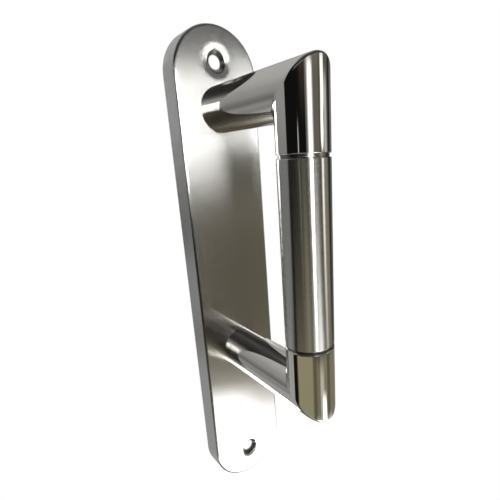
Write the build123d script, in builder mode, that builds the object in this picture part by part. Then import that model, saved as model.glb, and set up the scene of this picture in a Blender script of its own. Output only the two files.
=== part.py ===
"""Straight pull handle: a satin grip between two polished mitred elbows, on a pressed back plate.

Millimetres. The origin is the centre of the plate's back plane, which lies on the door. The door is
towards +Y, the hand is towards -Y, Z is up and X runs across the plate.
"""
import os
from math import radians, tan

from build123d import *

# Driving dimensions of the tube: arms, stubs and grip are cut from the same one
tube_d = 20.0
tube_wall = 1.5
arm_reach = 43.5  # clear finger room, from the plate's front to the near side of the grip
stub_length = 11.4  # polished length below an arm, from the inner corner of the mitre to the groove
grip_length = 72.2

# Driving dimensions of the joint between an elbow's stub and the grip
groove_width = 1.3
groove_depth = 0.7
tube_end_round = 0.4
spigot_length = 9.0
sleeve_bore_d = 11.0
sleeve_chamfer = 0.6

# Driving dimensions of the pressed plate
plate_width = 41.0
plate_depth = 11.0
plate_wall = 1.0
plate_bend = 0.2  # inside radius of the pressed edge
screw_spacing = 202.0
screw_to_end = 14.8
screw_hole_d = 6.0
countersink_d = 9.0
countersink_angle = 90.0
dish_d = 13.2
dish_depth = 0.5
dish_round = 2.5
hole_land = 0.6  # straight wall of the screw hole below its countersink
dish_to_arm = 3.2  # flat plate left between the upper screw hole's dish and the upper arm

# Driving dimensions of the fixing behind each arm
fixing_d = 6.0
fixing_engagement = 10.0  # length of screw held in the plug
plug_spare = 4.0  # tapped depth left beyond the screw's tip
plug_chamfer = 0.5
washer_d = 16.0
washer_thickness = 1.2
head_d = 10.5
head_rim = 1.1
head_round = 2.2
socket_across_flats = 4.0
socket_depth = 2.0
tip_chamfer = 0.7

# Clearances
slip_gap = 0.05  # between a sleeve or plug and the tube around it, on the radius
thread_gap = 0.05  # between a screw and the thread around it, on the radius
screw_gap = 0.3  # between a screw and a plain hole, on the radius
past = 1.0  # how far a cut runs past a face

# Sizes that follow
tube_r = tube_d / 2
bore_r = tube_r - tube_wall
plate_length = screw_spacing + 2 * screw_to_end
front_y = -plate_depth
inside_y = front_y + plate_wall
grip_y = front_y - arm_reach - tube_r
arm_spacing = grip_length + 2 * (groove_width + stub_length + tube_r)
upper_arm_z = screw_spacing / 2 - dish_d / 2 - dish_to_arm - tube_r
handle_z = upper_arm_z - arm_spacing / 2
plug_length = fixing_engagement + plug_spare
head_height = head_rim + head_round
head_y = inside_y + washer_thickness
countersink_depth = (countersink_d - screw_hole_d) / 2 / tan(radians(countersink_angle / 2))
seat_depth = dish_depth + countersink_depth + hole_land

os.makedirs("parts", exist_ok=True)


def save(builder, name):
    """Labels a finished piece and writes it as its own file."""
    builder.part.label = name
    export_step(builder.part, f"parts/{name}.step")


# Back plate: a pressed obround cover, open towards the door
with BuildPart() as back_plate:
    with BuildSketch(Plane.XZ):
        SlotOverall(plate_length, plate_width, rotation=90)
    extrude(amount=plate_depth)
    fillet(back_plate.edges().group_by(Axis.Y)[0], plate_wall + plate_bend)
    with BuildSketch(Plane.XZ):
        SlotOverall(plate_length - 2 * plate_wall, plate_width - 2 * plate_wall, rotation=90)
    extrude(amount=plate_depth - plate_wall, mode=Mode.SUBTRACT)
    inside_face = back_plate.faces().filter_by(Axis.Y).sort_by(Axis.Y)[1]
    fillet(inside_face.outer_wire().edges(), plate_bend)
    # Each screw hole is dished into the sheet, so a short tapered boss stands behind it
    for screw_z in (screw_spacing / 2, -screw_spacing / 2):
        hole_axis = Axis((0, 0, screw_z), (0, 1, 0))
        with BuildSketch(Plane.XY.offset(screw_z)):
            with BuildLine():
                Polyline(
                    (0, inside_y),
                    (dish_d / 2, inside_y),
                    (screw_hole_d / 2 + plate_wall, front_y + seat_depth),
                    (0, front_y + seat_depth),
                    close=True,
                )
            make_face()
        revolve(axis=hole_axis)
        with BuildSketch(Plane.XY.offset(screw_z)):
            with BuildLine():
                Polyline(
                    (0, front_y),
                    (dish_d / 2, front_y),
                    (countersink_d / 2, front_y + dish_depth),
                    (screw_hole_d / 2, front_y + dish_depth + countersink_depth),
                    (screw_hole_d / 2, front_y + seat_depth + past),
                    (0, front_y + seat_depth + past),
                    close=True,
                )
            make_face()
        revolve(axis=hole_axis, mode=Mode.SUBTRACT)
    front_circles = back_plate.faces().sort_by(Axis.Y)[0].edges().filter_by(GeomType.CIRCLE)
    fillet(front_circles.group_by(SortBy.RADIUS)[0], dish_round)
    # One plain hole behind each arm lets its fixing screw through
    for arm_z in (upper_arm_z, upper_arm_z - arm_spacing):
        with BuildSketch(Plane.XZ.offset(plate_depth + past)):
            with Locations((0, arm_z)):
                Circle(fixing_d / 2 + screw_gap)
        extrude(amount=-plate_wall - 2 * past, mode=Mode.SUBTRACT)
save(back_plate, "back_plate")

# Grip tube, with eased ends beside the grooves
with BuildPart() as grip_tube:
    with BuildSketch(Plane.XY.offset(handle_z - grip_length / 2)):
        with Locations((0, grip_y)):
            Circle(tube_r)
            Circle(bore_r, mode=Mode.SUBTRACT)
    extrude(amount=grip_length)
    fillet(grip_tube.edges().filter_by(GeomType.CIRCLE).group_by(SortBy.RADIUS)[-1], tube_end_round)
save(grip_tube, "grip_tube")

# Everything else comes in pairs: side is the direction from the grip's middle to its own end
for end, side in (("upper", 1), ("lower", -1)):
    arm_z = handle_z + side * arm_spacing / 2
    stub_z = arm_z - side * (tube_r + stub_length)
    grip_end_z = handle_z + side * grip_length / 2
    plate_front = Plane((0, front_y, arm_z), x_dir=(1, 0, 0), z_dir=(0, -1, 0))
    plate_inside = Plane((0, inside_y, arm_z), x_dir=(1, 0, 0), z_dir=(0, 1, 0))
    under_head = Plane((0, head_y, arm_z), x_dir=(1, 0, 0), z_dir=(0, 1, 0))

    # Elbow: arm and stub meet in a sharp mitre
    with BuildPart() as elbow:
        with BuildLine():
            Polyline((0, front_y, arm_z), (0, grip_y, arm_z), (0, grip_y, stub_z))
        with BuildSketch(plate_front):
            Circle(tube_r)
            Circle(bore_r, mode=Mode.SUBTRACT)
        sweep(transition=Transition.RIGHT)
        stub_end = elbow.faces().filter_by(Axis.Z).sort_by(Axis.Z)[0]
        fillet(stub_end.outer_wire().edges(), tube_end_round)
    save(elbow, f"{end}_elbow")

    # Joint sleeve: its collar keeps the two tubes a groove's width apart
    with BuildPart() as sleeve:
        with BuildSketch(Plane.XY.offset(grip_end_z - side * spigot_length)):
            with Locations((0, grip_y)):
                Circle(bore_r - slip_gap)
        extrude(amount=side * (groove_width + 2 * spigot_length))
        chamfer(sleeve.edges().filter_by(GeomType.CIRCLE), sleeve_chamfer)
        with BuildSketch(Plane.XY.offset(grip_end_z)):
            with Locations((0, grip_y)):
                Circle(tube_r - groove_depth)
        extrude(amount=side * groove_width)
        with BuildSketch(Plane.XY.offset(grip_end_z - side * (spigot_length + past))):
            with Locations((0, grip_y)):
                Circle(sleeve_bore_d / 2)
        extrude(amount=side * (groove_width + 2 * (spigot_length + past)), mode=Mode.SUBTRACT)
    save(sleeve, f"{end}_sleeve")

    # Tapped plug in the foot of the arm, flush with the tube's end
    with BuildPart() as plug:
        with BuildSketch(plate_front):
            Circle(bore_r - slip_gap)
        extrude(amount=plug_length)
        chamfer(plug.edges().filter_by(GeomType.CIRCLE).sort_by(Axis.Y)[0], plug_chamfer)
        with BuildSketch(plate_front):
            Circle(fixing_d / 2 + thread_gap)
        extrude(amount=plug_length, mode=Mode.SUBTRACT)
    save(plug, f"{end}_plug")

    # Washer on the inside of the plate
    with BuildPart() as washer:
        with BuildSketch(plate_inside):
            Circle(washer_d / 2)
            Circle(fixing_d / 2 + screw_gap, mode=Mode.SUBTRACT)
        extrude(amount=washer_thickness)
    save(washer, f"{end}_washer")

    # Button head screw, driven from behind through washer and plate into the plug
    with BuildPart() as screw:
        with BuildSketch(under_head):
            Circle(head_d / 2)
        extrude(amount=head_height)
        fillet(screw.edges().filter_by(GeomType.CIRCLE).sort_by(Axis.Y)[-1], head_round)
        with BuildSketch(under_head.offset(head_height)):
            RegularPolygon(socket_across_flats / 2, 6, major_radius=False)
        extrude(amount=-socket_depth, mode=Mode.SUBTRACT)
        with BuildSketch(under_head):
            Circle(fixing_d / 2)
        extrude(amount=-(washer_thickness + plate_wall + fixing_engagement))
        chamfer(screw.edges().filter_by(GeomType.CIRCLE).sort_by(Axis.Y)[0], tip_chamfer)
    save(screw, f"{end}_fixing_screw")
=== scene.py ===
# %% [markdown]
# A straight pull handle for a door: a satin grip between two polished elbows, standing on a pressed
# back plate with a round top and bottom. Sizes and places follow the CAD model, which is loaded first.
# Its meshes are loose triangles that are hard to shape any further. So the visible pieces are modelled
# again with clean faces and fine rounded edges, and every piece gets the finish of the real metal.

# %% Load the frame
from math import atan2, ceil, degrees, floor, radians, tan

import bmesh
import bpy
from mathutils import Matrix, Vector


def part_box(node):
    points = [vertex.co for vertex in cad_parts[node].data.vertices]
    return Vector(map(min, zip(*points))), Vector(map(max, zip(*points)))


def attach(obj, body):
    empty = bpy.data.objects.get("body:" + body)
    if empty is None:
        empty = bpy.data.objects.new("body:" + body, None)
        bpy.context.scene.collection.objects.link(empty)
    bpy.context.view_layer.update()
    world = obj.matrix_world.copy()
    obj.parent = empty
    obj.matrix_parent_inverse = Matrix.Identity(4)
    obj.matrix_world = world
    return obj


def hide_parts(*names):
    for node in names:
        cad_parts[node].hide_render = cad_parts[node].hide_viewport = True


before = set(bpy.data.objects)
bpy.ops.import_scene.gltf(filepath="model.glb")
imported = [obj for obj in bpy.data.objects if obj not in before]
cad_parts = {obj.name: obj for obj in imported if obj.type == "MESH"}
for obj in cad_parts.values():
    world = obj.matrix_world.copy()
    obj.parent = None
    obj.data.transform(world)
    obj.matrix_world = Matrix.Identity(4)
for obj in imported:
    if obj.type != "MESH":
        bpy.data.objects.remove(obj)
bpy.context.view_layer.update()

# %% [markdown]
# The camera stands close to the handle, a little above its middle and to its left, and looks down
# along the plate. It could be placed by eye, but from so close a small error shows at once. So its
# place and turn come from fitting the plate's outline, the screw holes and the ends of the tubes. The
# small shift allows for a picture that was cut off-centre.

# %% Camera
CAMERA_PLACE = (-0.094002, -0.165663, 0.058777)
CAMERA_TURN = (74.920, 2.885, -39.627)
CAMERA_LENS = 26.775
CAMERA_SENSOR = 36
CAMERA_SHIFT = (-0.0630, 0.0168)
CAMERA_NEAREST = 0.005  # anything closer than this is not drawn

bpy.ops.object.select_all(action="DESELECT")
bpy.ops.object.camera_add(location=CAMERA_PLACE, rotation=[radians(a) for a in CAMERA_TURN])
camera = bpy.context.object
camera.name = "photo_camera"
camera.data.sensor_width = CAMERA_SENSOR
camera.data.lens = CAMERA_LENS
camera.data.shift_x, camera.data.shift_y = CAMERA_SHIFT
camera.data.clip_start = CAMERA_NEAREST
bpy.context.scene.camera = camera
bpy.context.scene.view_settings.view_transform = "Standard"
print("camera lens", camera.data.lens, "mm")

# %% [markdown]
# Every operator acts on what is selected, so each piece starts with nothing selected. Inside edit
# mode the faces and edges to work on are found by where they are, which is what a modeller does with
# the mouse. Lists of their numbers would be wrong after the first change of a step count. Most forms
# here are rings of edges that are pulled out into walls and then rounded off.

# %% Helpers: choosing, pulling and rounding
NEAR = 1e-6  # two places closer than this, in metres, are the same
ARC_PROFILE = 0.5  # with this profile a bevel is an arc


def choose(piece, kind, belongs):
    """In edit mode, selects only the edges or faces whose corners all pass a test of place."""
    bpy.ops.mesh.select_mode(type={"edges": "EDGE", "faces": "FACE"}[kind])
    bpy.ops.mesh.select_all(action="DESELECT")
    shape = bmesh.from_edit_mesh(piece.data)
    chosen = 0
    for part in getattr(shape, kind):
        if all(belongs(corner.co) for corner in part.verts):
            part.select_set(True)
            chosen += 1
    shape.select_flush_mode()
    bmesh.update_edit_mesh(piece.data)
    return chosen


def stretch_edges(move):
    """Pulls the selected edges out into a wall."""
    bpy.ops.mesh.extrude_edges_move(TRANSFORM_OT_translate={"value": move})


def round_off(width, steps, affect="EDGES"):
    """Bevels what is selected into an arc."""
    bpy.ops.mesh.bevel(offset=width, segments=steps, profile=ARC_PROFILE, affect=affect)


print("two places count as one within", NEAR, "m")

# %% [markdown]
# Plate and tubes are sheet metal. Their inside could be modelled too, but it only follows the outside,
# so the outer skin is modelled alone and the wall is added after that, inwards. On polished metal any
# error in the shading shows as a bent reflection. The weighted normals keep the big flat and round
# faces true right up to their rounded edges.

# %% Helpers: wall, shading and place
SMOOTH_ANGLE = 40


def give_wall(piece, thickness):
    """Turns an outer skin into sheet metal or tube of that thickness, inwards."""
    wall = piece.modifiers.new("wall", "SOLIDIFY")
    wall.thickness = thickness
    wall.offset = -1
    wall.use_even_offset = True
    bpy.ops.object.modifier_apply(modifier=wall.name)


def finish_shading(piece):
    """Smooth shading that leaves flat faces flat, because large faces lead the shading at their edges."""
    bpy.ops.object.shade_smooth_by_angle(angle=radians(SMOOTH_ANGLE))
    lead = piece.modifiers.new("flat_faces_lead", "WEIGHTED_NORMAL")
    lead.keep_sharp = True
    bpy.ops.object.modifier_apply(modifier=lead.name)


def place(piece, slot, *nodes):
    """Fixes a finished piece to the handle's one body, in place of the CAD nodes that it shows."""
    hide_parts(*nodes)
    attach(piece, "root")
    print(piece.name, len(piece.data.polygons), "faces, for", nodes)


print("edges turn sharp from", SMOOTH_ANGLE, "degrees")

# %% [markdown]
# The back plate is pressed from sheet: flat in front, with a rounded edge and a rim that stands on the
# door. Its outline could be joined from two arcs and two lines. A rectangle whose four corners are
# rounded by half its width has exactly the same outline and leaves no joints to close. The edge is then
# pulled back for the rim, and the front edge is bevelled.

# %% Back plate: outline, rim and rounded edge
PLATE_EDGE_R = 0.0012
PLATE_EDGE_STEPS = 8
PLATE_CORNER_STEPS = 48
FACING_HAND = (radians(90), 0, 0)  # turns a flat primitive upright, towards the hand
plate_low, plate_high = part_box("back_plate")
plate_width = plate_high[0] - plate_low[0]
plate_length = plate_high[2] - plate_low[2]
plate_depth = plate_high[1] - plate_low[1]
front_y = plate_low[1]


def on_front(p):
    """Whether a point lies on the plane of the plate's front."""
    return abs(p.y - front_y) < NEAR


bpy.ops.object.select_all(action="DESELECT")
bpy.ops.mesh.primitive_plane_add(size=1, location=(0, front_y, 0), rotation=FACING_HAND)
plate = bpy.context.object
plate.name = "satin_plate"
plate.scale = (plate_width, plate_length, 1)
bpy.ops.object.transform_apply(location=True, rotation=True, scale=True)
bpy.ops.object.mode_set(mode="EDIT")
round_off(plate_width / 2, PLATE_CORNER_STEPS, affect="VERTICES")
bpy.ops.mesh.remove_doubles(threshold=NEAR)
choose(plate, "edges", lambda p: True)
stretch_edges((0, plate_depth, 0))
choose(plate, "edges", on_front)
round_off(PLATE_EDGE_R, PLATE_EDGE_STEPS)
print("plate outline", round(plate_width, 4), "x", round(plate_length, 4), "m")

# %% [markdown]
# Around each screw hole the sheet is pressed in a little, and the hole itself is countersunk for the
# screw's head. The pressed dish has no edge of its own: the flat front runs into it in one gentle bowl,
# which shows as a soft bright ring. A boolean cut would leave a hard ring there. So the profile is a
# list of rings, from the flat front to the end of the hole.

# %% Back plate: profile of a screw hole
BOWL_R = 0.0083
BOWL_STEPS = 9
DISH_DEPTH = 0.00028
MOUTH_R = 0.0045
MOUTH_EASE = 0.00012
MOUTH_MIDDLE = 0.3  # depth of the eased mouth's middle ring, as a share of its whole depth
HOLE_R = 0.0030
SEAT_DEPTH = 0.0026


def hole_profile():
    """Radius and depth of each ring of a screw hole. The bowl deepens with the square of the way in."""
    width = BOWL_R - MOUTH_R - MOUTH_EASE
    rings = []
    for step in range(BOWL_STEPS + 1):
        share = step / BOWL_STEPS
        rings.append((BOWL_R - share * width, DISH_DEPTH * share ** 2))
    rings.append((MOUTH_R, DISH_DEPTH + MOUTH_EASE * MOUTH_MIDDLE))
    rings.append((MOUTH_R - MOUTH_EASE, DISH_DEPTH + MOUTH_EASE))
    rings.append((HOLE_R, DISH_DEPTH + MOUTH_R - HOLE_R))
    rings.append((HOLE_R, SEAT_DEPTH))
    return rings


hole_rings = hole_profile()
print("rings of a screw hole:", len(hole_rings), "down to", hole_rings[-1][1], "m")

# %% [markdown]
# A circle is laid on the front plane and drawn inwards along that profile, ring by ring: each ring of
# edges is pulled into the plate and then made narrower. A spun profile would give the same surface,
# but it would have to be joined to the plate afterwards.

# %% Back plate: screw holes
SCREW_Z = 0.101
RING_POINTS = 96


def ring_on_front(points, radius, z):
    """Adds a ring of edges on the plane of the plate's front."""
    bpy.ops.mesh.primitive_circle_add(
        vertices=points, radius=radius, location=(0, front_y, z), rotation=FACING_HAND
    )


bpy.ops.mesh.select_mode(type="EDGE")
for hole_z in (SCREW_Z, -SCREW_Z):
    bpy.ops.mesh.select_all(action="DESELECT")
    ring_on_front(RING_POINTS, BOWL_R, hole_z)
    for (radius, depth), (next_radius, next_depth) in zip(hole_rings, hole_rings[1:]):
        stretch_edges((0, next_depth - depth, 0))
        narrower = next_radius / radius
        bpy.ops.transform.resize(
            value=(narrower, 1, narrower), center_override=(0, front_y + next_depth, hole_z)
        )
print("screw holes", round(2 * SCREW_Z, 4), "m apart")

# %% [markdown]
# Behind each arm a plain hole lets the fixing screw through. With these two circles laid down, the
# flat front is filled between its outline and all four holes. Filled in one go it stays perfectly flat,
# which a front that is cut four times might not. The skin then becomes sheet metal.

# %% Back plate: flat front and wall
TUBE_R = 0.010
PLATE_WALL = 0.0010
ARM_HOLE_R = 0.0033
ARM_HOLE_POINTS = 48
arm_low, arm_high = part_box("upper_elbow")
upper_arm_z = arm_high[2] - TUBE_R
lower_arm_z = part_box("lower_elbow")[0][2] + TUBE_R

for hole_z in (upper_arm_z, lower_arm_z):
    bpy.ops.mesh.select_all(action="DESELECT")
    ring_on_front(ARM_HOLE_POINTS, ARM_HOLE_R, hole_z)
choose(plate, "faces", on_front)
bpy.ops.mesh.delete(type="ONLY_FACE")
choose(plate, "edges", on_front)
bpy.ops.mesh.fill(use_beauty=True)
bpy.ops.mesh.select_all(action="SELECT")
bpy.ops.mesh.normals_make_consistent(inside=False)
bpy.ops.object.mode_set(mode="OBJECT")
give_wall(plate, PLATE_WALL)
finish_shading(plate)
place(plate, "plate", "back_plate")

# %% [markdown]
# An elbow is two pieces of tube cut at 45 degrees and joined in a mitre. A curve with a round bevel
# could follow the corner, but it would be pinched there. So a ring at the plate is pulled out past the
# corner, cut along the mitre plane, and the cut edge is pulled down: an ellipse pulled along the other
# tube's axis is that tube exactly. Polishing leaves the mitre's edge a little soft.

# %% Elbow: mitred tube
TUBE_POINTS = 160
TUBE_WALL = 0.0015
MITRE_EASE = 0.0010
MITRE_STEPS = 6
grip_y = arm_low[1] + TUBE_R
stub_z = arm_low[2]


def on_mitre(p):
    """Whether a point lies on the plane where the two tubes of the upper elbow meet."""
    return abs((p.y - grip_y) + (p.z - upper_arm_z)) < NEAR


bpy.ops.object.select_all(action="DESELECT")
ring_on_front(TUBE_POINTS, TUBE_R, upper_arm_z)
elbow = bpy.context.object
elbow.name = "polished_elbow_upper"
bpy.ops.object.transform_apply(location=True, rotation=True, scale=True)
bpy.ops.object.mode_set(mode="EDIT")
choose(elbow, "edges", lambda p: True)
stretch_edges((0, grip_y - 2 * TUBE_R - front_y, 0))
bpy.ops.mesh.select_all(action="SELECT")
bpy.ops.mesh.bisect(plane_co=(0, grip_y, upper_arm_z), plane_no=(0, 1, 1), clear_inner=True)
choose(elbow, "edges", on_mitre)
stretch_edges((0, 0, stub_z - upper_arm_z - 2 * TUBE_R))
bpy.ops.mesh.select_all(action="SELECT")
bpy.ops.mesh.bisect(plane_co=(0, 0, stub_z), plane_no=(0, 0, 1), clear_inner=True)
bpy.ops.mesh.select_all(action="SELECT")
bpy.ops.mesh.normals_make_consistent(inside=False)
mitre_edges = choose(elbow, "edges", on_mitre)
round_off(MITRE_EASE, MITRE_STEPS)
bpy.ops.object.mode_set(mode="OBJECT")
give_wall(elbow, TUBE_WALL)
print("mitre edges softened:", mitre_edges)

# %% [markdown]
# The stub of an elbow ends at the fine groove beside the grip. A sharp end would show as a plain line.
# Its outer edge is eased instead, so that the groove catches a thin line of light.

# %% Elbow: eased end
END_ROUND = 0.0004
END_STEPS = 4
OFF_ROUND = 10 * NEAR  # how far a point of a tube may lie off the true circle


def on_tube(p):
    """Whether a point lies on the outside of the upright tube."""
    return abs((p.x ** 2 + (p.y - grip_y) ** 2) ** 0.5 - TUBE_R) < OFF_ROUND


def ease_end(piece, end_z):
    """In edit mode, rounds the outer edge of an upright tube at that height."""
    eased = choose(piece, "edges", lambda p: abs(p.z - end_z) < NEAR and on_tube(p))
    round_off(END_ROUND, END_STEPS)
    return eased


bpy.ops.object.mode_set(mode="EDIT")
end_edges = ease_end(elbow, stub_z)
bpy.ops.object.mode_set(mode="OBJECT")
finish_shading(elbow)
print("end edges eased:", end_edges)
place(elbow, "elbow", "upper_elbow")

# %% [markdown]
# The lower elbow is the same part turned half round about the line through the middle of the grip, so
# it is a copy with a mesh of its own. A mirrored copy would have the same shape, but a mirror turns
# its faces inside out.

# %% Lower elbow
handle_z = (upper_arm_z + lower_arm_z) / 2
bpy.ops.object.select_all(action="DESELECT")
lower_elbow = elbow.copy()
lower_elbow.data = elbow.data.copy()
bpy.context.collection.objects.link(lower_elbow)
lower_elbow.name = "polished_elbow_lower"
bpy.context.view_layer.objects.active = lower_elbow
lower_elbow.select_set(True)
bpy.ops.object.mode_set(mode="EDIT")
bpy.ops.mesh.select_all(action="SELECT")
bpy.ops.transform.rotate(value=radians(180), orient_axis="Y", center_override=(0, grip_y, handle_z))
bpy.ops.object.mode_set(mode="OBJECT")
place(lower_elbow, "elbow", "lower_elbow")

# %% [markdown]
# The grip is one length of the same tube, with its ends eased so that a fine groove shows at each
# joint. A cylinder has closed ends that would have to come off again, so an open ring is pulled up.

# %% Grip tube
grip_low, grip_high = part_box("grip_tube")
bpy.ops.object.select_all(action="DESELECT")
bpy.ops.mesh.primitive_circle_add(vertices=TUBE_POINTS, radius=TUBE_R, location=(0, grip_y, grip_low[2]))
grip = bpy.context.object
grip.name = "satin_grip"
bpy.ops.object.transform_apply(location=True, rotation=True, scale=True)
bpy.ops.object.mode_set(mode="EDIT")
choose(grip, "edges", lambda p: True)
stretch_edges((0, 0, grip_high[2] - grip_low[2]))
bpy.ops.mesh.select_all(action="SELECT")
bpy.ops.mesh.normals_make_consistent(inside=False)
bpy.ops.object.mode_set(mode="OBJECT")
give_wall(grip, TUBE_WALL)
bpy.ops.object.mode_set(mode="EDIT")
for end_z in (grip_low[2], grip_high[2]):
    ease_end(grip, end_z)
bpy.ops.object.mode_set(mode="OBJECT")
finish_shading(grip)
place(grip, "grip", "grip_tube")

# %% [markdown]
# Metal shows its finish in how sharp its reflections are. Each finish starts from a bare metal shader.
# A picture of scratches could be wrapped round each piece, but it would show a seam. Noise on the
# piece's own coordinates has none, and noise that is stretched far along one direction gives brush
# lines.

# %% Helpers: metal and noise
def new_metal(name):
    """A bare metal material, with its node tree and shader."""
    metal = bpy.data.materials.new(name)
    metal.use_nodes = True
    shader = metal.node_tree.nodes["Principled BSDF"]
    shader.inputs["Metallic"].default_value = 1
    return metal, metal.node_tree, shader


def noise(tree, spots, detail):
    """A noise pattern on the piece's own coordinates, with so many spots per metre along each axis."""
    where = tree.nodes.new("ShaderNodeTexCoord")
    stretch = tree.nodes.new("ShaderNodeMapping")
    stretch.inputs["Scale"].default_value = spots
    pattern = tree.nodes.new("ShaderNodeTexNoise")
    pattern.inputs["Scale"].default_value = 1
    pattern.inputs["Detail"].default_value = detail
    tree.links.new(where.outputs["Object"], stretch.inputs["Vector"])
    tree.links.new(stretch.outputs["Vector"], pattern.inputs["Vector"])
    return pattern.outputs["Fac"]


def wear(piece, metal):
    """Gives the whole piece one finish."""
    piece.data.materials.clear()
    piece.data.materials.append(metal)


print("pieces that still need a finish:", len(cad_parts))

# %% [markdown]
# The patterns act on three things: how rough the metal is, what tint it has, and how its surface rises
# and falls. All three stay small, because plated metal is even.

# %% Helpers: what a pattern changes
PATTERN_LOW, PATTERN_HIGH = 0.3, 0.7  # most of a noise pattern lies between these values


def vary_roughness(tree, shader, pattern, smooth, rough):
    """Lets a pattern move the roughness between two values."""
    spread = tree.nodes.new("ShaderNodeMapRange")
    spread.inputs["From Min"].default_value = PATTERN_LOW
    spread.inputs["From Max"].default_value = PATTERN_HIGH
    spread.inputs["To Min"].default_value = smooth
    spread.inputs["To Max"].default_value = rough
    tree.links.new(pattern, spread.inputs["Value"])
    tree.links.new(spread.outputs["Result"], shader.inputs["Roughness"])


def vary_colour(tree, shader, pattern, dark, light):
    """Lets a pattern move the colour of the metal between two tints."""
    ramp = tree.nodes.new("ShaderNodeValToRGB")
    ramp.color_ramp.elements[0].position = PATTERN_LOW
    ramp.color_ramp.elements[1].position = PATTERN_HIGH
    ramp.color_ramp.elements[0].color = (*dark, 1)
    ramp.color_ramp.elements[1].color = (*light, 1)
    tree.links.new(pattern, ramp.inputs["Fac"])
    tree.links.new(ramp.outputs["Color"], shader.inputs["Base Color"])
    return ramp.outputs["Color"]


def add_relief(tree, shader, pattern, depth):
    """Lets a pattern raise and lower the surface by about that many metres."""
    relief = tree.nodes.new("ShaderNodeBump")
    relief.inputs["Strength"].default_value = 1
    relief.inputs["Distance"].default_value = depth
    tree.links.new(pattern, relief.inputs["Height"])
    tree.links.new(relief.outputs["Normal"], shader.inputs["Normal"])


print("noise counts from", PATTERN_LOW, "to", PATTERN_HIGH)

# %% [markdown]
# The plate is brushed along its length with a fine belt and then plated. Modelled scratches would be
# far too many. Scratches that run up and down smear a reflection sideways and leave its height sharp,
# which an anisotropic shader does when its tangent runs round the upright axis. The clear plating on
# top adds a faint sharp image to the soft one.

# %% Satin plate, brushed along its length
BRUSH_DEPTH = 5e-8


def brush_round_z(tree, shader):
    """Lets the shader's brush direction follow circles round the upright axis."""
    round_z = tree.nodes.new("ShaderNodeTangent")
    round_z.direction_type = "RADIAL"
    round_z.axis = "Z"
    tree.links.new(round_z.outputs["Tangent"], shader.inputs["Tangent"])


satin, tree, shader = new_metal("plate_satin")
streaks = noise(tree, spots=(900, 900, 4), detail=1)
lines = noise(tree, spots=(3500, 3500, 20), detail=2)
vary_roughness(tree, shader, streaks, smooth=0.252, rough=0.273)
plate_tint = vary_colour(tree, shader, streaks, dark=(0.76, 0.75, 0.73), light=(0.79, 0.78, 0.76))
add_relief(tree, shader, lines, BRUSH_DEPTH)
shader.inputs["Anisotropic"].default_value = 1.0
shader.inputs["Coat Weight"].default_value = 1.0
shader.inputs["Coat Roughness"].default_value = 0.06
shader.inputs["Coat IOR"].default_value = 2.4
brush_round_z(tree, shader)
wear(plate, satin)
print("finish:", satin.name)

# %% [markdown]
# The countersinks are painted darker and warmer than the plate, as painted shade in these deep
# recesses. They could have a material of their own. A tint by the distance from the nearer hole's axis
# keeps the plate in one finish and needs no faces to be chosen.

# %% Painted shade in the countersinks
COUNTERSINK_SHADE_TINT = (0.30, 0.29, 0.23)
COUNTERSINK_SHADE_FADE = 0.0001


def math_node(tree, operation, *values):
    """One sum on linked values or plain numbers."""
    node = tree.nodes.new("ShaderNodeMath")
    node.operation = operation
    for socket, value in zip(node.inputs, values):
        if isinstance(value, (int, float)):
            socket.default_value = value
        else:
            tree.links.new(value, socket)
    return node.outputs["Value"]


def length_node(tree, one, other):
    """The length of the line whose two sides are given."""
    squares = [math_node(tree, "MULTIPLY", side, side) for side in (one, other)]
    return math_node(tree, "SQRT", math_node(tree, "ADD", *squares))


where = tree.nodes.new("ShaderNodeTexCoord")
split = tree.nodes.new("ShaderNodeSeparateXYZ")
tree.links.new(where.outputs["Object"], split.inputs["Vector"])
from_hole = math_node(tree, "SUBTRACT", math_node(tree, "ABSOLUTE", split.outputs["Z"]), SCREW_Z)
away = length_node(tree, split.outputs["X"], from_hole)
outside = tree.nodes.new("ShaderNodeMapRange")
outside.inputs["From Min"].default_value = MOUTH_R - COUNTERSINK_SHADE_FADE
outside.inputs["From Max"].default_value = MOUTH_R
tree.links.new(away, outside.inputs["Value"])
# painted shade: inside each countersink's mouth the plate colour turns to the dark warm tint
countersink_shade_blend = tree.nodes.new("ShaderNodeMixRGB")
countersink_shade_blend.inputs["Color1"].default_value = (*COUNTERSINK_SHADE_TINT, 1)
tree.links.new(outside.outputs["Result"], countersink_shade_blend.inputs["Fac"])
tree.links.new(plate_tint, countersink_shade_blend.inputs["Color2"])
tree.links.new(countersink_shade_blend.outputs["Color"], shader.inputs["Base Color"])
print("countersinks are darker inside", MOUTH_R, "m")

# %% [markdown]
# The grip is brushed the other way, round the tube, as it comes from a belt while it turns. That smears
# the reflections up and down and leaves sharp bright stripes along the grip. So it has the plate's
# shader with the brush direction turned by a quarter.

# %% Satin grip, brushed round the tube
QUARTER_TURN = 0.25

grip_satin, tree, shader = new_metal("grip_satin")
streaks = noise(tree, spots=(40, 40, 1500), detail=1)
lines = noise(tree, spots=(60, 60, 4000), detail=2)
vary_roughness(tree, shader, streaks, smooth=0.228, rough=0.250)
vary_colour(tree, shader, streaks, dark=(0.61, 0.60, 0.57), light=(0.64, 0.63, 0.60))
add_relief(tree, shader, lines, BRUSH_DEPTH)
shader.inputs["Anisotropic"].default_value = 1.0
shader.inputs["Anisotropic Rotation"].default_value = QUARTER_TURN
brush_round_z(tree, shader)
wear(grip, grip_satin)
print("finish:", grip_satin.name)

# %% [markdown]
# The elbows are mirror polished, with a slightly warm tint. A perfect mirror is the simplest way to
# make them, but it looks drawn. A little haze and very long, shallow waves from the polishing wheel
# keep it real.

# %% Polished elbows
WAVE_DEPTH = 1e-5

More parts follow.
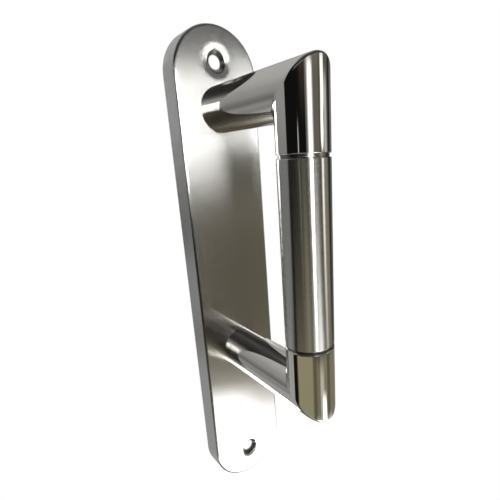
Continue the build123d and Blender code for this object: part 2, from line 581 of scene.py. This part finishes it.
polish, tree, shader = new_metal("elbow_polish")
haze = noise(tree, spots=(90, 90, 90), detail=3)
waves = noise(tree, spots=(70, 70, 70), detail=1)
vary_roughness(tree, shader, haze, smooth=0.03, rough=0.06)
vary_colour(tree, shader, haze, dark=(0.80, 0.78, 0.74), light=(0.83, 0.81, 0.77))
add_relief(tree, shader, waves, WAVE_DEPTH)
for piece in (elbow, lower_elbow):
    wear(piece, polish)
print("finish:", polish.name)

# %% [markdown]
# Inside the joints sits a turned sleeve, of which only the collar shows, at the bottom of the groove.
# Its CAD node has the right shape and only needs a finish. Turning leaves fine rings round it. Its
# colour is painted darker than the tubes, as painted shade for the groove, which gets little light.

# %% Turned sleeves
TURNED_DEPTH = 4e-6
ENDS = ("upper", "lower")
sleeves = [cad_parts[f"{end}_sleeve"] for end in ENDS]

turned, tree, shader = new_metal("sleeve_turned_painted_shade")
rings_cut = noise(tree, spots=(30, 30, 6000), detail=1)
vary_roughness(tree, shader, rings_cut, smooth=0.2, rough=0.3)
# painted shade: both tints are kept dark for the shade at the bottom of the groove
vary_colour(tree, shader, rings_cut, dark=(0.26, 0.25, 0.24), light=(0.34, 0.33, 0.32))
add_relief(tree, shader, rings_cut, TURNED_DEPTH)
for sleeve in sleeves:
    wear(sleeve, turned)
print("finish:", turned.name)

# %% [markdown]
# Behind the plate a washer and a screw hold each arm. Both are CAD nodes and bright zinc plated, which
# has a fine bluish crystal pattern. Plain even noise comes close to it.

# %% Zinc plated fixings
CRYSTAL_DEPTH = 6e-6

zinc, tree, shader = new_metal("fixing_zinc")
crystals = noise(tree, spots=(900, 900, 900), detail=2)
vary_roughness(tree, shader, crystals, smooth=0.25, rough=0.4)
vary_colour(tree, shader, crystals, dark=(0.58, 0.59, 0.62), light=(0.68, 0.68, 0.68))
add_relief(tree, shader, crystals, CRYSTAL_DEPTH)
for end in ENDS:
    for fixing in ("washer", "fixing_screw"):
        wear(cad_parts[f"{end}_{fixing}"], zinc)
print("finish:", zinc.name)

# %% [markdown]
# The tapped plug in the foot of each arm is turned on a lathe and left bare. It is a CAD node too.

# %% Turned plugs
faced, tree, shader = new_metal("plug_turned")
facing = noise(tree, spots=(2000, 60, 2000), detail=2)
vary_roughness(tree, shader, facing, smooth=0.3, rough=0.45)
vary_colour(tree, shader, facing, dark=(0.52, 0.52, 0.51), light=(0.60, 0.60, 0.59))
add_relief(tree, shader, facing, TURNED_DEPTH)
for end in ENDS:
    wear(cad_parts[f"{end}_plug"], faced)
print("finish:", faced.name)

# %% [markdown]
# The handle hangs free, as on a door, a metre above a plain pale floor. Floor and world are white at a
# strength of 1, so the background is plain white. Lamps on a grey floor would need much more light for
# that. The room that comes next stands between this white and the metal.

# %% Studio: floor and world
FLOOR_Z = -1.0
FLOOR_SIZE = 30
WHITE = (1, 1, 1)


def glow(name, colour, strength):
    """A material that shines evenly with one colour."""
    light = bpy.data.materials.new(name)
    light.use_nodes = True
    shader = light.node_tree.nodes["Principled BSDF"]
    shader.inputs["Base Color"].default_value = (0, 0, 0, 1)
    shader.inputs["Specular IOR Level"].default_value = 0
    shader.inputs["Emission Color"].default_value = (*colour, 1)
    shader.inputs["Emission Strength"].default_value = strength
    return light


bpy.ops.object.select_all(action="DESELECT")
bpy.ops.mesh.primitive_plane_add(size=FLOOR_SIZE, location=(0, 0, FLOOR_Z))
studio_floor = bpy.context.object
studio_floor.name = "studio_floor"
wear(studio_floor, glow("floor_white", WHITE, 1))

world = bpy.data.worlds.new("studio_white")
bpy.context.scene.world = world
world.use_nodes = True
world.node_tree.nodes["Background"].inputs["Color"].default_value = (*WHITE, 1)
world.node_tree.nodes["Background"].inputs["Strength"].default_value = 1
print("floor", -FLOOR_Z, "m below the plate's middle")

# %% [markdown]
# Polished metal has no look of its own: it shows the room. A picture of a room could surround the
# handle, but boards need no file and can be moved one by one. They stand far enough away that only the
# direction of each thing counts. The camera does not see them, but the metal does. Each board is given
# by the bearings and elevations between which the handle sees it. Bearings run from straight ahead of
# the plate towards +X.

# %% Studio: boards by direction
ROOM_R = 3.6
RING_STEP = 3
RING_SIDES = 360 // RING_STEP
ELEVATION_STEP = 4
FLOOR_GAP = 0.002


def room_point(elevation, share):
    """Radius and height where a line at that angle from the handle meets the room's floor or wall."""
    slope = tan(radians(elevation))
    if slope * ROOM_R < FLOOR_Z + FLOOR_GAP:
        return share * (FLOOR_Z + FLOOR_GAP) / slope, share * (FLOOR_Z + FLOOR_GAP)
    return share * ROOM_R, share * ROOM_R * slope


def board(name, bearings, elevations, finish, share=1.0):
    """A curved board between two bearings and two elevations in degrees, at a share of the room's size."""
    low, high = elevations
    steps = max(1, ceil((high - low) / ELEVATION_STEP))
    levels = [room_point(low + (high - low) * step / steps, share) for step in range(steps + 1)]
    radius, height = levels[0]
    bpy.ops.object.select_all(action="DESELECT")
    bpy.ops.mesh.primitive_circle_add(vertices=RING_SIDES, radius=radius, location=(0, 0, height))
    screen = bpy.context.object
    screen.name = name
    bpy.ops.object.transform_apply(location=True)
    bpy.ops.object.mode_set(mode="EDIT")
    middle = sum(bearings) / 2
    half = (bearings[1] - bearings[0]) / 2 + RING_STEP / 4  # a little more, so that its ends count

    def in_range(p):
        """Whether a point's bearing lies on this board."""
        off = (degrees(atan2(p.x, -p.y)) - middle + 180) % 360 - 180
        return abs(off) < half

    choose(screen, "edges", in_range)
    for next_radius, next_height in levels[1:]:
        stretch_edges((0, 0, next_height - height))
        wider = next_radius / radius
        bpy.ops.transform.resize(value=(wider, wider, 1), center_override=(0, 0, next_height))
        radius, height = next_radius, next_height
    bpy.ops.mesh.select_all(action="SELECT")
    bpy.ops.mesh.delete_loose()
    bpy.ops.object.mode_set(mode="OBJECT")
    wear(screen, finish)
    screen.visible_camera = False
    return screen


print("room of", ROOM_R, "m radius")

# %% [markdown]
# The room is dim: a khaki floor, an olive table in front of the handle, brown and green walls, nearly
# black to the left and grey behind. One even grey would be simpler, but a polished tube gathers all of
# the room into upright stripes, and those make it look like metal.

# %% Studio: the dim room
KHAKI = (0.27, 0.25, 0.16)
DIM_KHAKI = (0.20, 0.18, 0.13)
OLIVE = (0.10, 0.09, 0.065)
DARK_OLIVE = (0.05, 0.045, 0.03)
BROWN = (0.145, 0.127, 0.114)
GREEN = (0.09, 0.09, 0.065)
CEILING_ELEVATION = 76
CEILING_STRENGTH = 0.2
BOARDS = (
    ("floor_under", (-126, 234), (-88, -62), KHAKI, 0.35),
    ("floor_below_left", (-105, -60), (-62, -46), WHITE, 0.35),
    ("floor_below", (-60, 135), (-62, -46), WHITE, 0.7),
    ("floor_khaki", (-105, -54), (-46, -25), KHAKI, 0.2),
    ("floor_khaki_near", (-54, 0), (-46, -29), KHAKI, 0.2),
    ("floor_right", (0, 135), (-46, -28), DIM_KHAKI, 0.6),
    ("floor_line", (-126, -105), (-62, -25), WHITE, 0.006),
    ("floor_behind", (135, 234), (-62, -25), WHITE, 0.17),
    ("table_dark", (-30, 0), (-29, -18), DARK_OLIVE, 0.6),
    ("table_left", (-30, 0), (-18, -4), OLIVE, 0.35),
    ("table_right", (0, 45), (-28, -4), OLIVE, 0.88),
    ("table_far_right", (45, 75), (-28, -4), DIM_KHAKI, 1.5),
    ("left_black", (-111, -54), (-25, 40), WHITE, 0.006),
    ("left_upper", (-54, -30), (-29, 40), WHITE, 0.006),
    ("wall_low", (-30, 24), (-4, 16), BROWN, 1),
    ("wall_right", (24, 75), (-4, 16), GREEN, 1),
    ("wall_high", (-30, 135), (16, 40), WHITE, 0.03),
    ("right_dark", (75, 135), (-28, 16), WHITE, 0.02),
    ("back_wall", (135, 249), (-25, 40), WHITE, 0.17),
    ("high_front", (-111, 60), (40, CEILING_ELEVATION), WHITE, 0.05),
    ("high_behind", (60, 249), (40, CEILING_ELEVATION), WHITE, 0.17),
)
ceiling_z = ROOM_R * tan(radians(CEILING_ELEVATION))

for name, bearings, elevations, colour, strength in BOARDS:
    board(name, bearings, elevations, glow(name, colour, strength))
bpy.ops.object.select_all(action="DESELECT")
bpy.ops.mesh.primitive_circle_add(
    vertices=RING_SIDES, radius=ROOM_R, fill_type="NGON", location=(0, 0, ceiling_z)
)
ceiling = bpy.context.object
ceiling.name = "ceiling"
wear(ceiling, glow("ceiling", WHITE, CEILING_STRENGTH))
ceiling.visible_camera = False
print("boards in the room:", len(BOARDS))

# %% [markdown]
# A window, a lamp or a lit sheet of paper fades at its edges in a reflection. Area lamps would be
# quicker to set up, but a mirror shows them with hard edges. So each light is a see-through screen in
# front of the boards whose glow fades out over a few degrees. The angle of every point on it follows
# from the screen's own coordinates, because the room's middle is the origin.

# %% Studio: lights that fade out
def fade(tree, angle, low, high, soft):
    """A value that is 1 between two angles in degrees and fades out over a soft edge at both."""
    edges = []
    for outer, inner in ((low - soft / 2, low + soft / 2), (high + soft / 2, high - soft / 2)):
        edge = tree.nodes.new("ShaderNodeMapRange")
        edge.interpolation_type = "SMOOTHSTEP"
        edge.inputs["From Min"].default_value = radians(outer)
        edge.inputs["From Max"].default_value = radians(inner)
        tree.links.new(angle, edge.inputs["Value"])
        edges.append(edge.outputs["Result"])
    return math_node(tree, "MULTIPLY", *edges)


def soft_glow(name, bearings, elevations, colour, strength, soft):
    """A light that fades at its edges and lets what is behind it show through."""
    light = bpy.data.materials.new(name)
    light.use_nodes = True
    light.cycles.emission_sampling = "FRONT_BACK"
    tree = light.node_tree
    tree.nodes.clear()
    where = tree.nodes.new("ShaderNodeTexCoord")
    split = tree.nodes.new("ShaderNodeSeparateXYZ")
    tree.links.new(where.outputs["Object"], split.inputs["Vector"])
    x, y, z = (split.outputs[axis] for axis in "XYZ")
    soft_sides, soft_ends = soft
    elevation = math_node(tree, "ARCTAN2", z, length_node(tree, x, y))
    share = fade(tree, elevation, *elevations, soft_ends)
    # Bearings jump at half a turn, so a light that crosses it behind the handle keeps its sides sharp
    if bearings[1] < 180:
        bearing = math_node(tree, "ARCTAN2", x, math_node(tree, "MULTIPLY", y, -1.0))
        share = math_node(tree, "MULTIPLY", share, fade(tree, bearing, *bearings, soft_sides))
    shine = tree.nodes.new("ShaderNodeEmission")
    shine.inputs["Color"].default_value = (*colour, 1)
    tree.links.new(math_node(tree, "MULTIPLY", share, strength), shine.inputs["Strength"])
    clear = tree.nodes.new("ShaderNodeBsdfTransparent")
    both = tree.nodes.new("ShaderNodeAddShader")
    tree.links.new(shine.outputs["Emission"], both.inputs[0])
    tree.links.new(clear.outputs["BSDF"], both.inputs[1])
    out = tree.nodes.new("ShaderNodeOutputMaterial")
    tree.links.new(both.outputs["Shader"], out.inputs["Surface"])
    return light


print("lights fade out smoothly")

# %% [markdown]
# Each light hangs a little nearer than the one before it. On a real table, things that stand close to
# the handle keep some light from one piece while it reaches another. They could be modelled and tried
# out one by one. Light linking does the same directly: a group of lights can be given the only pieces
# that it reaches.

# %% Studio: hanging lights
LIGHT_SHARE = 0.97
LIGHT_STEP = 0.003
hung = []


def hang(lights, reaches=()):
    """Hangs soft lights in the room. They reach every piece, or only the ones that are given."""
    only = None
    if reaches:
        only = bpy.data.collections.new(f"lit_by_{lights[0][0]}")
        for piece in reaches:
            only.objects.link(piece)
    for name, bearings, elevations, colour, strength, soft in lights:
        soft_sides, soft_ends = soft
        wide = (
            RING_STEP * floor((bearings[0] - soft_sides / 2) / RING_STEP),
            RING_STEP * ceil((bearings[1] + soft_sides / 2) / RING_STEP),
        )
        tall = (elevations[0] - soft_ends / 2, elevations[1] + soft_ends / 2)
        light = soft_glow(name, bearings, elevations, colour, strength, soft)
        screen = board(name, wide, tall, light, LIGHT_SHARE - len(hung) * LIGHT_STEP)
        screen.light_linking.receiver_collection = only
        hung.append(name)
    print("lights in the room:", len(hung))


print("each light hangs", round(LIGHT_STEP * ROOM_R, 4), "m nearer than the last")

# %% [markdown]
# The main window stands ahead and a little to the left, with soft sides, so that its stripe on a
# polished tube has soft edges. A second, narrower window stands to the right. Each line gives a light's
# bearings, elevations, colour and strength, and how softly its sides and its ends fade.

# %% Studio: windows
hang((
    ("window", (-20, -3), (-3, 14), WHITE, 1.5, (12, 2)),
    ("window_sill", (0, 20), (-9, -2), WHITE, 0.18, (8, 4)),
    ("window_top", (-26, -8), (15, 22), WHITE, 0.6, (5, 4)),
    ("upper_glow", (-30, 80), (16, 27), WHITE, 0.10, (12, 8)),
    ("window_right", (32, 46), (3, 8), WHITE, 1.1, (3, 4.5)),
    ("window_right_high", (34, 49), (8, 15), WHITE, 1.3, (5, 2.5)),
    ("window_right_core", (36.5, 43), (3, 7), WHITE, 4.6, (4, 4)),
    ("window_far", (49, 66), (0, 12), WHITE, 0.4, (6, 4)),
))

# %% [markdown]
# The dark side on the left has a faint warm glow and one thin line of light. The right side is a
# little lighter, and the wall behind the handle grows lighter upwards and downwards from its middle.

# %% Studio: sides and back
RED_BROWN = (0.030, 0.020, 0.016)
BEHIND = (135, 249)
BEHIND_LOW = (135, 234)
hang((
    ("left_warm", (-50, -24), (9, 26), RED_BROWN, 1, (16, 10)),
    ("left_line", (-62, -59), (-10, 5.5), WHITE, 0.6, (3, 3)),
    ("left_glow", (-75, -36), (16, 26), WHITE, 0.3, (8, 6)),
    ("right_light", (92, 140), (-30, 16), WHITE, 0.15, (8, 8)),
    ("right_back", (130, 146), (-10, 16), WHITE, 0.3, (6, 6)),
    ("back_middle", BEHIND, (2, 66), WHITE, 0.14, (0, 20)),
    ("back_low", BEHIND, (-25, -13), WHITE, 0.11, (0, 8)),
    ("back_glow", BEHIND, (26, 60), WHITE, 0.14, (0, 32)),
    ("back_floor", BEHIND_LOW, (-58, -28), WHITE, 0.2, (0, 10)),
))

# %% [markdown]
# Pale sheets of paper lie on the floor in front of the handle and light the plate's lower end. The
# floor beside them is a little lighter to the right.

# %% Studio: floor and paper
hang((
    ("floor_right_glow", (3, 38), (-46, -29), DIM_KHAKI, 0.6, (10, 3)),
    ("floor_far_glow", (56, 130), (-46, -29), DIM_KHAKI, 0.5, (10, 3)),
    ("paper", (13, 31), (-56, -36), WHITE, 3.4, (8, 4)),
    ("paper_wide", (-18, 66), (-56, -39), WHITE, 1.2, (8, 3)),
    ("paper_near", (-15, 14), (-58, -44), WHITE, 5.0, (8, 3)),
    ("table_glare", (2, 20), (-38, -31), WHITE, 0.3, (8, 4)),
))

# %% [markdown]
# The window's bright middle reaches only the satin and turned pieces, which spread it out. On a mirror
# it would leave a hard, ragged edge. The plate sees it a little wider than the grip. The khaki floor is
# lighter for the tubes than for the plate. The grip alone sees a lit table in front of it, with the
# glare of both windows on its top: these are the stripes that drift to the right towards its lower end.

# %% Studio: lights for single pieces
hang((
    ("window_core", (-14.5, -7), (-2, 12.6), WHITE, 28.5, (5, 3)),
    ("window_core_high", (-14.5, -7), (8, 12.6), WHITE, 29, (5, 3)),
), (plate, grip, *sleeves))
hang((
    ("window_plate", (-7, -3), (-2, 12.5), WHITE, 10, (4, 3)),
), (plate,))
hang((
    ("floor_left_glow", (-102, -31), (-46, -27), KHAKI, 0.9, (10, 3)),
    ("floor_near_glow", (-31, -2), (-46, -29), KHAKI, 0.25, (10, 3)),
    ("floor_middle_glow", (-14, 6), (-46, -30), KHAKI, 0.35, (10, 3)),
), (grip, elbow, lower_elbow))
hang((
    ("table_far_glow", (-52, -30), (-28, -9), KHAKI, 1.15, (16, 6)),
    ("grip_glare_high", (-4, 10), (-20, -10), WHITE, 0.6, (10, 8)),
    ("grip_glare_low", (0, 18), (-32, -20), WHITE, 1.1, (10, 8)),
    ("grip_side_high", (36, 45), (-16, 2), WHITE, 1.6, (5, 8)),
    ("grip_side_low", (42, 54), (-30, -16), WHITE, 0.4, (6, 8)),
), (grip,))
